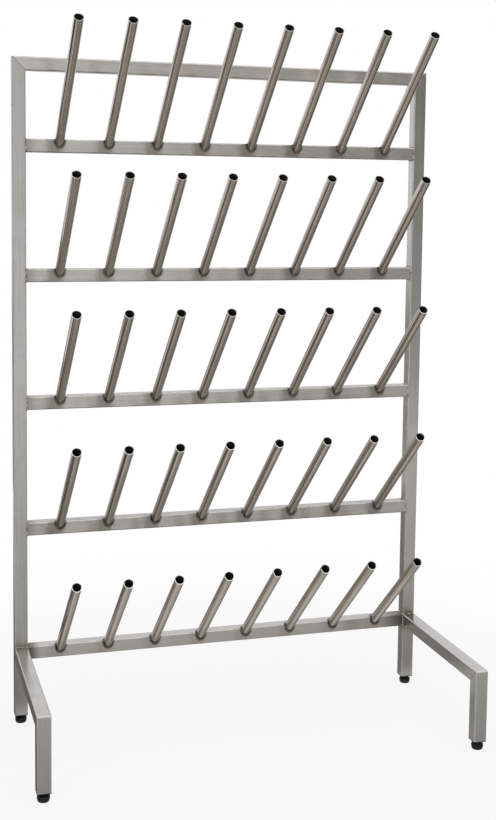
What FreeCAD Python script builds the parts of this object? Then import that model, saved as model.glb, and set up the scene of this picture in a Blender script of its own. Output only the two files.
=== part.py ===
import FreeCAD, Part
import math
import os
import re

import Sketcher
from FreeCAD import Rotation, Vector

# Free-standing boot rack, welded from stainless square and round tube.
#
# Two uprights and a mitred top rail make the frame. Five peg rails run between the uprights,
# and each carries a row of round pegs that lean forward and up. A boot hangs upside down on
# each peg. Two foot arms run forward from the uprights, each mitred to a short front leg.
# Every tube end at the floor has a black threaded plug, and in it a screw foot: a stud with a
# hexagon collar, whose ball end turns in a round pad.
#
# Frame: origin on the floor at the centre of the bounding box, +Z up, +X along the rails,
# and the pegs and foot arms face -Y. Lengths are in millimetres and angles in degrees.

RAIL_COUNT = 5
PEGS_PER_RAIL = 8
PLUG_FIN_COUNT = 4
SIDES = (("left", "-"), ("right", ""))  # each side, and its sign along X
X_DIRECTION, Y_DIRECTION, Z_DIRECTION = Vector(1, 0, 0), Vector(0, 1, 0), Vector(0, 0, 1)

# name, value, what it is
SIZES = [
    ("tube_size", 35, "outer side of the square frame tube"),
    ("tube_wall", 1.5, "wall of the square frame tube"),
    ("tube_corner", 3, "outer corner radius of the square frame tube"),
    ("rail_spacing", 340, "from one peg rail to the next"),
    ("lowest_rail_top", 213, "floor to the top of the lowest peg rail and of the foot arms"),
    ("top_gap", 176, "clear height between the highest peg rail and the top rail"),
    ("arm_reach", 475, "from the uprights' front faces to the front legs' front faces"),
    ("peg_pitch", 131, "between the axes of neighbouring pegs"),
    ("peg_end_gap", 88, "from an upright to the axis of the peg beside it"),
    ("peg_diameter", 25, "outer diameter of the peg tube"),
    ("peg_wall", 1.5, "wall of the peg tube"),
    ("peg_lean", 49.5, "angle of the pegs from the vertical"),
    ("peg_reach", 380, "along the axis, from the rail's front face to the peg's open end"),
    ("peg_reach_top_row", 425, "the same for the longer pegs of the highest rail"),
    ("peg_seat", 3, "where the peg's axis meets the rail's front face, below its top edge"),
    ("plug_flange", 2, "thickness of the plug's flange, under the tube's end"),
    ("plug_depth", 24, "length of the plug inside the tube"),
    ("plug_core", 25, "side of the plug's square core"),
    ("plug_fin", 1.4, "thickness of each gripping fin on the core"),
    ("plug_fin_clearance", 0.1, "between a fin and the tube's inner wall"),
    ("stud_diameter", 10, "thread diameter of the foot's stud"),
    ("stud_length", 32, "length of the threaded stud above its collar"),
    ("stud_clearance", 0.05, "radial running clearance of the stud in the plug"),
    ("stud_tip_chamfer", 1, "lead-in at the stud's end"),
    ("collar_width", 18, "across the flats of the stud's hexagon collar"),
    ("collar_thickness", 5.5, "thickness of the hexagon collar"),
    ("collar_gap", 3, "between the collar and the plug's flange, as the rack stands"),
    ("collar_lift", 1.5, "between the collar and the pad's hub"),
    ("neck_diameter", 8, "the stud's neck, from the collar to the ball"),
    ("ball_diameter", 12, "ball at the stud's lower end, snapped into the pad"),
    ("ball_clearance", 0.1, "radial clearance of the ball in the pad's socket"),
    ("pad_diameter", 31, "widest diameter of the foot's pad"),
    ("pad_height", 15, "height of the foot's pad"),
    ("pad_base_diameter", 27, "diameter of the pad's underside, before its edge is rounded"),
    ("pad_side_height", 8, "height of the pad's widest part, under its top"),
    ("pad_belly_radius", 6, "rounding where the pad starts to narrow towards the floor"),
    ("pad_edge_radius", 2.8, "rounding of the pad's upper and lower edges"),
    ("pad_rim_width", 3.5, "width of the raised rim round the pad's top"),
    ("pad_dish_depth", 2, "depth of the dish inside the rim, down to the hub"),
    ("pad_mouth_diameter", 10.4, "opening in the hub, narrower than the ball"),
    ("pad_floor", 2, "thickness of the pad under the ball"),
]


# ---- formulas -------------------------------------------------------------------------------

# Heights and places that follow from the sizes above.
COLLAR_BASE = "(pad_height - pad_dish_depth + collar_lift)"
FOOT_HEIGHT = f"({COLLAR_BASE} + collar_thickness + collar_gap + plug_flange)"
BALL_CENTRE = "(pad_floor + ball_clearance + ball_diameter / 2)"
PEG_SPAN = f"({PEGS_PER_RAIL - 1} * peg_pitch)"
INNER_WIDTH = f"({PEG_SPAN} + 2 * peg_end_gap)"
FRAME_WIDTH = f"({INNER_WIDTH} + 2 * tube_size)"
HIGHEST_RAIL_TOP = f"(lowest_rail_top + {RAIL_COUNT - 1} * rail_spacing)"
FRAME_HEIGHT = f"({HIGHEST_RAIL_TOP} + top_gap + tube_size)"
FRAME_DEPTH = "(arm_reach + tube_size)"
UPRIGHT_X = f"({INNER_WIDTH} + tube_size) / 2"
UPRIGHT_Y = f"({FRAME_DEPTH} - tube_size) / 2"
UPRIGHT_FRONT_Y = f"({FRAME_DEPTH} / 2 - tube_size)"
FRONT_LEG_Y = f"(tube_size - {FRAME_DEPTH}) / 2"
PEG_ROOT = "peg_diameter"


def sized(formula):
    """Return a formula of size names as an expression that reads the spreadsheet's cells."""
    return re.sub(r"\b[a-z]+(_[a-z]+)+\b", lambda name: "Sizes." + name.group(0), str(formula))


def bind(item, prop, formula):
    """Tie a property of a document object to a formula of size names."""
    item.setExpression(prop, sized(formula))


def value_of(item, formula):
    """Return the present value of a formula of size names."""
    return float(item.evalExpression(sized(formula)))


# ---- sketches -------------------------------------------------------------------------------

def origin_plane(body, role):
    """Return the body's own origin plane with the given role, such as XY_Plane."""
    return next(plane for plane in body.Origin.OriginFeatures if plane.Role == role)


def new_sketch(body, plane, name):
    """Add an empty sketch on one of the body's origin planes."""
    sketch = body.newObject("Sketcher::SketchObject", name)
    sketch.AttachmentSupport = [(origin_plane(body, plane), "")]
    sketch.MapMode = "FlatFace"
    return sketch


def constrain(sketch, formula, kind, *elements):
    """Add a constraint with a size, tied to a formula."""
    size = value_of(sketch, formula)
    index = sketch.addConstraint(Sketcher.Constraint(kind, *elements, size))
    bind(sketch, f"Constraints[{index}]", formula)


def draw_circles(sketch, *radii):
    """Draw circles about the sketch's origin, with radii given as formulas."""
    for radius in radii:
        circle = sketch.addGeometry(Part.Circle(Vector(), Z_DIRECTION, value_of(sketch, radius)))
        sketch.addConstraint(Sketcher.Constraint("Coincident", circle, 3, -1, 1))
        constrain(sketch, radius, "Radius", circle)


def corner_arc(before, corner, after, radius):
    """Return the arc that rounds a corner, its two ends, and which end comes first."""
    towards_before = (before - corner).normalize()
    towards_after = (after - corner).normalize()
    half_angle = towards_before.getAngle(towards_after) / 2
    start = corner + towards_before * (radius / math.tan(half_angle))
    end = corner + towards_after * (radius / math.tan(half_angle))
    centre = corner + (towards_before + towards_after).normalize() * (radius / math.sin(half_angle))
    turns_left = towards_after.cross(towards_before).z > 0
    first, last = (start, end) if turns_left else (end, start)
    angles = [math.atan2(point.y - centre.y, point.x - centre.x) for point in (first, last)]
    arc = Part.ArcOfCircle(Part.Circle(centre, Z_DIRECTION, radius), *angles)
    return arc, start, end, (1, 2) if turns_left else (2, 1)


def draw_outline(sketch, corners):
    """Draw a closed outline of straight sides and round corners.

    Each corner is (across, up) or (across, up, radius), all formulas. A corner is pinned by its
    place, and a round one by an arc of that radius, tangent to the sides on both sides of it.
    """
    points = [Vector(value_of(sketch, corner[0]), value_of(sketch, corner[1]), 0) for corner in corners]
    starts, ends, arcs = [], [], []
    for index, corner in enumerate(corners):
        neighbours = points[index - 1], points[index], points[(index + 1) % len(points)]
        if len(corner) == 3:
            arc, start, end, order = corner_arc(*neighbours, value_of(sketch, corner[2]))
            arcs.append((sketch.addGeometry(arc), *order))
        else:
            start = end = points[index]
            arcs.append(None)
        starts.append(start)
        ends.append(end)
    sides = []
    for index in range(len(points)):
        side = Part.LineSegment(ends[index], starts[(index + 1) % len(points)])
        sides.append(sketch.addGeometry(side))
    for index, corner in enumerate(corners):
        side_in, side_out = sides[index - 1], sides[index]
        if arcs[index]:
            arc, first, last = arcs[index]
            sketch.addConstraint(Sketcher.Constraint("Tangent", side_in, 2, arc, first))
            sketch.addConstraint(Sketcher.Constraint("Tangent", arc, last, side_out, 1))
            constrain(sketch, corner[2], "Radius", arc)
            pin = sketch.addGeometry(Part.Point(points[index]), True)
            sketch.addConstraint(Sketcher.Constraint("PointOnObject", pin, 1, side_in))
            sketch.addConstraint(Sketcher.Constraint("PointOnObject", pin, 1, side_out))
        else:
            pin = side_out
            sketch.addConstraint(Sketcher.Constraint("Coincident", side_in, 2, side_out, 1))
        constrain(sketch, corner[0], "DistanceX", -1, 1, pin, 1)
        constrain(sketch, corner[1], "DistanceY", -1, 1, pin, 1)


def square_corners(side, radius):
    """Return the corners of a square of a given side about the origin, rounded by a radius."""
    half = f"({side}) / 2"
    return [(f"{across}{half}", f"{up}{half}", radius)
            for across, up in (("-", "-"), ("", "-"), ("", ""), ("-", ""))]


def hexagon_corners(across_flats):
    """Return the six corners of a hexagon about the origin with two sides across the X axis."""
    corner_distance = f"{across_flats} / 2 / cos(30 deg)"
    return [(f"{corner_distance} * cos({angle} deg)", f"{corner_distance} * sin({angle} deg)")
            for angle in range(30, 390, 60)]


# ---- features -------------------------------------------------------------------------------

def new_body(doc, label):
    """Add an empty body with the label that names its node."""
    body = doc.addObject("PartDesign::Body", label)
    body.Label = label
    return body


def pad(body, sketch, name, length):
    """Pad a sketch along its normal by a length given as a formula."""
    feature = body.newObject("PartDesign::Pad", name)
    feature.Profile = sketch
    bind(feature, "Length", length)
    return feature


def pocket_both_ways(body, sketch, name):
    """Cut a sketch right through the body, to both sides of its plane."""
    feature = body.newObject("PartDesign::Pocket", name)
    feature.Profile = sketch
    feature.Type = "ThroughAll"
    feature.SideType = "Symmetric"
    return feature


def revolve(body, sketch, name):
    """Turn a sketch once round the body's vertical axis."""
    feature = body.newObject("PartDesign::Revolution", name)
    feature.Profile = sketch
    feature.ReferenceAxis = (sketch, ["V_Axis"])
    feature.Angle = 360
    return feature


def sphere(body, kind, name, radius, height):
    """Add to the body, or subtract from it, a sphere at a height on its vertical axis."""
    feature = body.newObject(f"PartDesign::{kind}Sphere", name)
    feature.AttachmentSupport = [(origin_plane(body, "XY_Plane"), "")]
    feature.MapMode = "FlatFace"
    bind(feature, "AttachmentOffset.Base.z", height)
    bind(feature, "Radius", radius)
    return feature


def group(doc, label, bodies):
    """Join identical pieces, as separate solids, in one compound that names their node."""
    compound = doc.addObject("Part::Compound", label)
    compound.Label = label
    compound.Links = bodies
    return compound


def place(body, rotation, across="0", back="0", up="0"):
    """Set the body's rotation, and tie its place in the rack to three formulas."""
    body.Placement = FreeCAD.Placement(Vector(), rotation)
    bind(body, "Placement.Base.x", across)
    bind(body, "Placement.Base.y", back)
    bind(body, "Placement.Base.z", up)


def turned(inner_side, along):
    """Return the rotation that takes a tube's +X to its inner side and its +Z along its run."""
    return Rotation(inner_side, along.cross(inner_side), along, "ZXY")


# ---- frame tubes ----------------------------------------------------------------------------

def square_tube(doc, label, length, mitres=()):
    """Make a square tube along its own +Z, with its ends mitred or square.

    A mitre slopes at 45 degrees, so that the tube is full length on its -X side and shorter by
    its own width on its +X side. mitres names the ends that have one: "near", "far" or both.
    """
    body = new_body(doc, label)
    section = new_sketch(body, "XY_Plane", label + "_section")
    draw_outline(section, square_corners("tube_size", "tube_corner"))
    draw_outline(section, square_corners("tube_size - 2 * tube_wall", "tube_corner - tube_wall"))
    pad(body, section, label + "_tube", length)
    for end in mitres:
        outer, inner = (length, f"{length} - tube_size") if end == "far" else ("0", "tube_size")
        corner = [("-tube_size / 2", outer), ("tube_size / 2", inner), ("tube_size / 2", outer)]
        triangle = new_sketch(body, "XZ_Plane", f"{label}_{end}_mitre_line")
        draw_outline(triangle, corner)
        pocket_both_ways(body, triangle, f"{label}_{end}_mitre")
    return body


def uprights_and_top_rail(doc):
    """Make the two uprights, which run to the floor, and the top rail mitred between them."""
    upright_length = f"({FRAME_HEIGHT} - {FOOT_HEIGHT})"
    tubes = []
    for side, sign, inner_side in (("left", "-", X_DIRECTION), ("right", "", -X_DIRECTION)):
        upright = square_tube(doc, side + "_upright", upright_length, ["far"])
        place(upright, turned(inner_side, Z_DIRECTION), f"{sign}{UPRIGHT_X}", UPRIGHT_Y, FOOT_HEIGHT)
        tubes.append(upright)
    top_rail = square_tube(doc, "top_rail", FRAME_WIDTH, ["near", "far"])
    place(top_rail, turned(-Z_DIRECTION, X_DIRECTION),
          f"-{FRAME_WIDTH} / 2", UPRIGHT_Y, f"{FRAME_HEIGHT} - tube_size / 2")
    return [*tubes, top_rail]


def rail_top(row):
    """Return the height of the top of a peg rail, counted from 1 at the top."""
    return f"(lowest_rail_top + {RAIL_COUNT - row} * rail_spacing)"


def peg_rails(doc):
    """Make the peg rails, square-ended between the uprights."""
    rails = []
    for row in range(1, RAIL_COUNT + 1):
        rail = square_tube(doc, f"peg_rail_{row}", INNER_WIDTH)
        place(rail, turned(-Z_DIRECTION, X_DIRECTION),
              f"-{INNER_WIDTH} / 2", UPRIGHT_Y, f"{rail_top(row)} - tube_size / 2")
        rails.append(rail)
    return rails


def foot_arms_and_front_legs(doc):
    """Make each side's foot arm and front leg, level with the lowest peg rail."""
    arms, legs = [], []
    for side, sign in SIDES:
        arm = square_tube(doc, side + "_foot_arm", "arm_reach", ["far"])
        place(arm, turned(-Z_DIRECTION, -Y_DIRECTION),
              f"{sign}{UPRIGHT_X}", UPRIGHT_FRONT_Y, "lowest_rail_top - tube_size / 2")
        leg = square_tube(doc, side + "_front_leg", f"(lowest_rail_top - {FOOT_HEIGHT})", ["far"])
        place(leg, turned(Y_DIRECTION, Z_DIRECTION), f"{sign}{UPRIGHT_X}", FRONT_LEG_Y, FOOT_HEIGHT)
        arms.append(arm)
        legs.append(leg)
    return [*arms, group(doc, "front_legs", legs)]


# ---- pegs -----------------------------------------------------------------------------------

def notched_peg(doc, label, reach, across, rail_height):
    """Make one peg: a round tube, open at its tip and notched over the rail's front top edge.

    The body's origin is on that edge. The tube starts inside the rail's outline, and the notch
    takes that stretch away, so that the tube's end fits the rail's top, edge and front.
    """
    peg = new_body(doc, label)
    ring = new_sketch(peg, "XY_Plane", label + "_section")
    ring.AttachmentOffset = FreeCAD.Placement(Vector(), Rotation(X_DIRECTION, 1))
    bind(ring, "AttachmentOffset.Rotation.Angle", "peg_lean")
    bind(ring, "AttachmentOffset.Base.y", f"{PEG_ROOT} * sin(peg_lean * 1 deg)")
    bind(ring, "AttachmentOffset.Base.z", f"-peg_seat - {PEG_ROOT} * cos(peg_lean * 1 deg)")
    draw_circles(ring, "peg_diameter / 2", "peg_diameter / 2 - peg_wall")
    pad(peg, ring, label + "_tube", f"{reach} + {PEG_ROOT}")

    rail_outline = new_sketch(peg, "YZ_Plane", label + "_notch_line")
    draw_outline(rail_outline, [("0", "-tube_size"), ("tube_size", "-tube_size"), ("tube_size", "0"),
                                ("0", "0", "tube_corner")])
    pocket_both_ways(peg, rail_outline, label + "_notch")
    place(peg, Rotation(), across, UPRIGHT_FRONT_Y, rail_height)
    return peg


def rows_of_pegs(doc):
    """Make the rows of pegs, evenly spaced about the middle of each peg rail."""
    pegs = []
    for row in range(1, RAIL_COUNT + 1):
        reach = "peg_reach_top_row" if row == 1 else "peg_reach"
        for column in range(1, PEGS_PER_RAIL + 1):
            across = f"{column - 1} * peg_pitch - {PEG_SPAN} / 2"
            pegs.append(notched_peg(doc, f"peg_row{row}_{column}", reach, across, rail_top(row)))
    return pegs


# ---- plugs and screw feet -------------------------------------------------------------------

def threaded_plug(doc, label, across, back):
    """Make a threaded plug: a flange under the tube's end, and a finned core inside the tube."""
    plug = new_body(doc, label)
    bore = "stud_diameter / 2 + stud_clearance"
    flange = new_sketch(plug, "XY_Plane", label + "_flange_outline")
    draw_outline(flange, square_corners("tube_size", "tube_corner"))
    draw_circles(flange, bore)
    pad(plug, flange, label + "_flange", "plug_flange")

    core = new_sketch(plug, "XY_Plane", label + "_core_outline")
    bind(core, "AttachmentOffset.Base.z", "plug_flange")
    draw_outline(core, square_corners("plug_core", "tube_corner - tube_wall"))
    draw_circles(core, bore)
    pad(plug, core, label + "_core", "plug_depth")

    fin_side = "tube_size - 2 * tube_wall - 2 * plug_fin_clearance"
    fin_step = f"(plug_depth - plug_fin) / {PLUG_FIN_COUNT}"
    for number in range(1, PLUG_FIN_COUNT + 1):
        fin = new_sketch(plug, "XY_Plane", f"{label}_fin_{number}_outline")
        bind(fin, "AttachmentOffset.Base.z", f"plug_flange + {number} * {fin_step}")
        draw_outline(fin, square_corners(fin_side, "tube_corner - tube_wall"))
        draw_circles(fin, bore)
        pad(plug, fin, f"{label}_fin_{number}", "plug_fin")
    place(plug, Rotation(), across, back, f"{FOOT_HEIGHT} - plug_flange")
    return plug


def foot_stud(doc, label, across, back):
    """Make a foot's stud: a ball, a neck, a hexagon collar and the threaded stud, as one piece."""
    stud = new_body(doc, label)
    profile = new_sketch(stud, "XZ_Plane", label + "_profile")
    stud_top = f"({COLLAR_BASE} + collar_thickness + stud_length)"
    draw_outline(profile, [
        ("0", BALL_CENTRE),
        ("neck_diameter / 2", BALL_CENTRE),
        ("neck_diameter / 2", COLLAR_BASE),
        ("stud_diameter / 2", COLLAR_BASE),
        ("stud_diameter / 2", f"{stud_top} - stud_tip_chamfer"),
        ("stud_diameter / 2 - stud_tip_chamfer", stud_top),
        ("0", stud_top),
    ])
    revolve(stud, profile, label + "_turned")

    collar = new_sketch(stud, "XY_Plane", label + "_collar_outline")
    bind(collar, "AttachmentOffset.Base.z", COLLAR_BASE)
    draw_outline(collar, hexagon_corners("collar_width"))
    pad(stud, collar, label + "_collar", "collar_thickness")
    sphere(stud, "Additive", label + "_ball", "ball_diameter / 2", BALL_CENTRE)
    place(stud, Rotation(), across, back)
    return stud


def foot_pad(doc, label, across, back):
    """Make a foot's pad: a round base with a dished top, and a socket for the stud's ball."""
    base = new_body(doc, label)
    profile = new_sketch(base, "XZ_Plane", label + "_profile")
    hub_top = "pad_height - pad_dish_depth"
    dish_radius = "pad_diameter / 2 - pad_rim_width"
    draw_outline(profile, [
        ("0", "0"),
        ("pad_base_diameter / 2", "0", "pad_edge_radius"),
        ("pad_diameter / 2", "pad_height - pad_side_height", "pad_belly_radius"),
        ("pad_diameter / 2", "pad_height", "pad_edge_radius"),
        (dish_radius, "pad_height"),
        (dish_radius, hub_top),
        ("pad_mouth_diameter / 2", hub_top),
        ("pad_mouth_diameter / 2", BALL_CENTRE),
        ("0", BALL_CENTRE),
    ])
    revolve(base, profile, label + "_turned")
    sphere(base, "Subtractive", label + "_socket", "ball_diameter / 2 + ball_clearance", BALL_CENTRE)
    place(base, Rotation(), across, back)
    return base


def plugs_and_feet(doc):
    """Make a plug and a screw foot under each upright and each front leg."""
    plugs, feet = [], []
    for end, back in (("back", UPRIGHT_Y), ("front", FRONT_LEG_Y)):
        for side, sign in SIDES:
            corner = f"{end}_{side}"
            across = f"{sign}{UPRIGHT_X}"
            plugs.append(threaded_plug(doc, corner + "_plug", across, back))
            feet.append(foot_stud(doc, corner + "_foot_stud", across, back))
            feet.append(foot_pad(doc, corner + "_foot_pad", across, back))
    return [group(doc, "leg_plugs", plugs), *feet]


# ---- document -------------------------------------------------------------------------------

def new_document():
    """Make the document, with its driving dimensions in a spreadsheet."""
    doc = FreeCAD.newDocument("boot_rack")
    sheet = doc.addObject("Spreadsheet::Sheet", "Sizes")
    for row, (name, value, meaning) in enumerate(SIZES, start=1):
        sheet.set(f"A{row}", name)
        sheet.set(f"B{row}", str(value))
        sheet.set(f"C{row}", meaning)
        sheet.setAlias(f"B{row}", name)
    doc.recompute()
    return doc


def check(doc):
    """Stop with a message if any object failed or any body isn't one valid solid."""
    for item in doc.Objects:
        if "Invalid" in item.State or "Error" in item.State:
            raise RuntimeError(f"{item.Label} failed: {item.State}")
        if item.TypeId == "Sketcher::SketchObject" and not item.FullyConstrained:
            raise RuntimeError(f"{item.Label} isn't fully constrained")
        if item.TypeId == "PartDesign::Body":
            if item.Shape.isNull() or not item.Shape.isValid() or len(item.Shape.Solids) != 1:
                raise RuntimeError(f"{item.Label} isn't one valid solid")


def export(nodes):
    """Write each node to a STEP file named by its label."""
    os.makedirs("parts", exist_ok=True)
    for node in nodes:
        node.Shape.exportStep(os.path.join("parts", node.Label + ".step"))


def main():
    """Build the boot rack, check it and write its parts."""
    doc = new_document()
    nodes = [
        *uprights_and_top_rail(doc),
        *peg_rails(doc),
        *foot_arms_and_front_legs(doc),
        *rows_of_pegs(doc),
        *plugs_and_feet(doc),
    ]
    doc.recompute()
    check(doc)
    export(nodes)
    box = Part.makeCompound([node.Shape for node in nodes]).BoundBox
    print(f"{len(nodes)} parts, X {box.XMin:.2f} to {box.XMax:.2f}, "
          f"Y {box.YMin:.2f} to {box.YMax:.2f}, Z {box.ZMin:.2f} to {box.ZMax:.2f}")


main()
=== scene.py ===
"""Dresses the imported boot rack: steel finishes, weld beads, screw feet, studio and camera."""

import enum
import logging
import math
from collections.abc import Sequence
from dataclasses import dataclass
from functools import cached_property
from typing import TypeAlias

import bpy
from mathutils import Matrix, Vector

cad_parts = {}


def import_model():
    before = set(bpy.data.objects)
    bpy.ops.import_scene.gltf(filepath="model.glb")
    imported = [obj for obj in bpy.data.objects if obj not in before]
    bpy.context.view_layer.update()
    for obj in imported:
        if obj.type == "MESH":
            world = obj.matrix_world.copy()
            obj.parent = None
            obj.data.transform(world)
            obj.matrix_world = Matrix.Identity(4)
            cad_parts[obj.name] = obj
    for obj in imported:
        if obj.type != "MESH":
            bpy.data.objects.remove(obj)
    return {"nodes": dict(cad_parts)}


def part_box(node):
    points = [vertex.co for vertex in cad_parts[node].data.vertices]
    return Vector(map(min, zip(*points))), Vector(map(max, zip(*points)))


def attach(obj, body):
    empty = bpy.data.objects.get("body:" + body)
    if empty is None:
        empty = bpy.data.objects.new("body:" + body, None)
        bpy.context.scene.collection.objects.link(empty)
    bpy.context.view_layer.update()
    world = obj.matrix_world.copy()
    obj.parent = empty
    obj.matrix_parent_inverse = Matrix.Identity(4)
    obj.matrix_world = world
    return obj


LOG = logging.getLogger("boot_rack")
MM = 0.001
MIDDLE = 0.5  # of a mask, of noise and of a ramp
RACK = "rack"

Colour: TypeAlias = tuple[float, float, float]
Point: TypeAlias = tuple[float, float, float]
Socket: TypeAlias = bpy.types.NodeSocket
Feed: TypeAlias = bpy.types.NodeSocket | float | Sequence[float] | None
Pieces: TypeAlias = list[bpy.types.Object]
Nodes: TypeAlias = dict[str, bpy.types.Object]

# Two dark browns: the first is laid on as the painted reflection under each peg and on the rails' left ends,
# the second as painted shade.
SOFT_DARK: Colour = (0.250, 0.226, 0.203)
SHADE: Colour = (0.170, 0.152, 0.135)
MOST_NOISE = (0.3, 0.7)  # the span that nearly all smooth noise keeps to


class SocketKind(enum.Enum):
    """What a socket of a shader or geometry group carries."""

    NUMBER = "NodeSocketFloat"
    VECTOR = "NodeSocketVector"
    COLOUR = "NodeSocketColor"
    COUNT = "NodeSocketInt"
    MATERIAL = "NodeSocketMaterial"
    GEOMETRY = "NodeSocketGeometry"


class TubeRun(enum.Enum):
    """Which way a square tube runs, as the direction of its grain."""

    ACROSS = (1.0, 0.0, 0.0)
    DEEP = (0.0, 1.0, 0.0)
    UP = (0.0, 0.0, 1.0)


class Mitre(enum.Enum):
    """Which mitred corner a square tube has, if any."""

    NONE = "none"
    TOP = "top"
    FOOT = "foot"


class FootPlace(enum.Enum):
    """The four screw feet, each with its node prefix."""

    BACK_LEFT = "back_left"
    BACK_RIGHT = "back_right"
    FRONT_LEFT = "front_left"
    FRONT_RIGHT = "front_right"


class NodeBench:
    """Places nodes in one tree and joins their sockets."""

    def __init__(self, tree: bpy.types.NodeTree) -> None:
        """Keeps the tree that the nodes go in."""
        self.tree = tree

    def add(self, kind: str, **settings: object) -> bpy.types.Node:
        """Adds a node.

        Args:
            kind: Blender's name of the node type.
            **settings: Properties of the node, such as its operation.

        Returns:
            The new node.
        """
        node = self.tree.nodes.new(kind)
        for key, value in settings.items():
            setattr(node, key, value)
        return node

    def feed(self, socket: Socket, value: Feed) -> None:
        """Joins a socket to another one, or sets its value.

        Args:
            socket: The input socket.
            value: An output socket, a plain value, or None to leave it alone.
        """
        if isinstance(value, bpy.types.NodeSocket):
            self.tree.links.new(value, socket)
        elif value is not None:
            socket.default_value = value

    def feed_named(self, node: bpy.types.Node, values: dict[str, Feed]) -> bpy.types.Node:
        """Feeds some of a node's inputs.

        Args:
            node: The node.
            values: What its inputs take, by name.

        Returns:
            The same node.
        """
        for name, value in values.items():
            self.feed(node.inputs[name], value)
        return node

    def math(self, operation: str, *values: Feed, clamp: bool = False) -> Socket:
        """Works out a number.

        Args:
            operation: The Math node's operation.
            *values: Its operands, as sockets or numbers.
            clamp: Whether the result is held between 0 and 1.

        Returns:
            The socket with the result.
        """
        node = self.add("ShaderNodeMath", operation=operation, use_clamp=clamp)
        for socket, value in zip(node.inputs, values):
            self.feed(socket, value)
        return node.outputs[0]

    def plus(self, first: Feed, second: Feed) -> Socket:
        """Adds two numbers."""
        return self.math("ADD", first, second)

    def minus(self, first: Feed, second: Feed, clamp: bool = False) -> Socket:
        """Takes the second number from the first."""
        return self.math("SUBTRACT", first, second, clamp=clamp)

    def times(self, first: Feed, *others: Feed) -> Socket:
        """Multiplies numbers.

        Args:
            first: The first number.
            *others: The numbers that it is multiplied by, one after another.

        Returns:
            The socket with the product.
        """
        for other in others:
            first = self.math("MULTIPLY", first, other)
        return first

    def over(self, first: Feed, second: Feed) -> Socket:
        """Divides the first number by the second."""
        return self.math("DIVIDE", first, second)

    def unsigned(self, value: Feed) -> Socket:
        """Takes the sign off a number."""
        return self.math("ABSOLUTE", value)

    def gathered(self, base: float, *shares: tuple[Feed, float]) -> Socket:
        """Adds shares of several masks to a number.

        Args:
            base: The number without any of them.
            *shares: Each mask and its share.

        Returns:
            The socket with the sum.
        """
        total: Feed = base
        for mask, share in shares:
            total = self.plus(self.times(mask, share), total)
        return total

    def vector(self, operation: str, *values: Feed) -> Socket:
        """Works out a vector.

        Args:
            operation: The Vector Math node's operation.
            *values: Its operands, as sockets or triples.

        Returns:
            The socket with the result.
        """
        node = self.add("ShaderNodeVectorMath", operation=operation)
        for socket, value in zip(node.inputs, values):
            self.feed(socket, value)
        return node.outputs["Vector"]

    def triple(self, x: Feed = 0.0, y: Feed = 0.0, z: Feed = 0.0) -> Socket:
        """Puts three numbers together as a vector."""
        return self.feed_named(self.add("ShaderNodeCombineXYZ"), {"X": x, "Y": y, "Z": z}).outputs[0]

    def length(self, *parts: Feed) -> Socket:
        """Measures the vector with these parts.

        Args:
            *parts: Two or three numbers.

        Returns:
            The socket with its length.
        """
        node = self.add("ShaderNodeVectorMath", operation="LENGTH")
        self.feed(node.inputs[0], self.triple(*parts))
        return node.outputs["Value"]

    def parts(self, vector: Feed) -> tuple[Socket, ...]:
        """Takes a vector apart into its X, Y and Z sockets."""
        return tuple(self.feed_named(self.add("ShaderNodeSeparateXYZ"), {"Vector": vector}).outputs)

    def normal(self) -> Socket:
        """Gives the way that the surface faces."""
        return self.add("ShaderNodeNewGeometry").outputs["Normal"]

    def fade(self, value: Feed, start: Feed, end: Feed, low: float = 0.0, high: float = 1.0) -> Socket:
        """Turns a number into a smooth step.

        Args:
            value: The number that the step follows.
            start: Where the step leaves low.
            end: Where it reaches high.
            low: The result at the start.
            high: The result at the end.

        Returns:
            The socket with the step.
        """
        ends = {"Value": value, "From Min": start, "From Max": end, "To Min": low, "To Max": high}
        node = self.add("ShaderNodeMapRange", interpolation_type="SMOOTHSTEP")
        return self.feed_named(node, ends).outputs["Result"]

    def noise(self, place: Feed, scale: Feed, detail: float = 2.0, distortion: float = 0.0) -> Socket:
        """Samples smooth noise, from 0 to 1, at a scale in waves to the metre."""
        values = {"Vector": place, "Scale": scale, "Detail": detail, "Distortion": distortion}
        return self.feed_named(self.add("ShaderNodeTexNoise"), values).outputs["Fac"]

    def blend(self, share: Feed, first: Feed, second: Feed, mode: str = "MIX") -> Socket:
        """Blends two colours.

        Args:
            share: How much of the second colour shows, from 0 to 1.
            first: A colour socket or an RGB triple.
            second: A colour socket or an RGB triple.
            mode: The Mix node's blend type.

        Returns:
            The socket with the colour.
        """
        node = self.add("ShaderNodeMix", data_type="RGBA", blend_type=mode)
        factor, colours = node.inputs[0], node.inputs[6:8]
        self.feed(factor, share)
        for socket, value in zip(colours, (first, second)):
            self.feed(socket, value if isinstance(value, bpy.types.NodeSocket) else (*value, 1.0))
        return node.outputs[2]

    def ramp(self, value: Feed, stops: Sequence[tuple[float, Colour]]) -> Socket:
        """Turns a number into a colour.

        Args:
            value: The number, from 0 to 1.
            stops: Positions and their colours, in rising order.

        Returns:
            The socket with the colour.
        """
        node = self.add("ShaderNodeValToRGB")
        elements = node.color_ramp.elements
        while len(elements) < len(stops):
            elements.new(MIDDLE)
        for element, (position, colour) in zip(elements, stops):
            element.position = position
            element.color = (*colour, 1.0)
        self.feed(node.inputs[0], value)
        return node.outputs["Color"]

    def effect(self, group: bpy.types.NodeTree, values: dict[str, Feed]) -> bpy.types.bpy_prop_collection:
        """Places a shared effect, feeds its inputs by name and gives its outputs."""
        return self.feed_named(self.add("ShaderNodeGroup", node_tree=group), values).outputs


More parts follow.
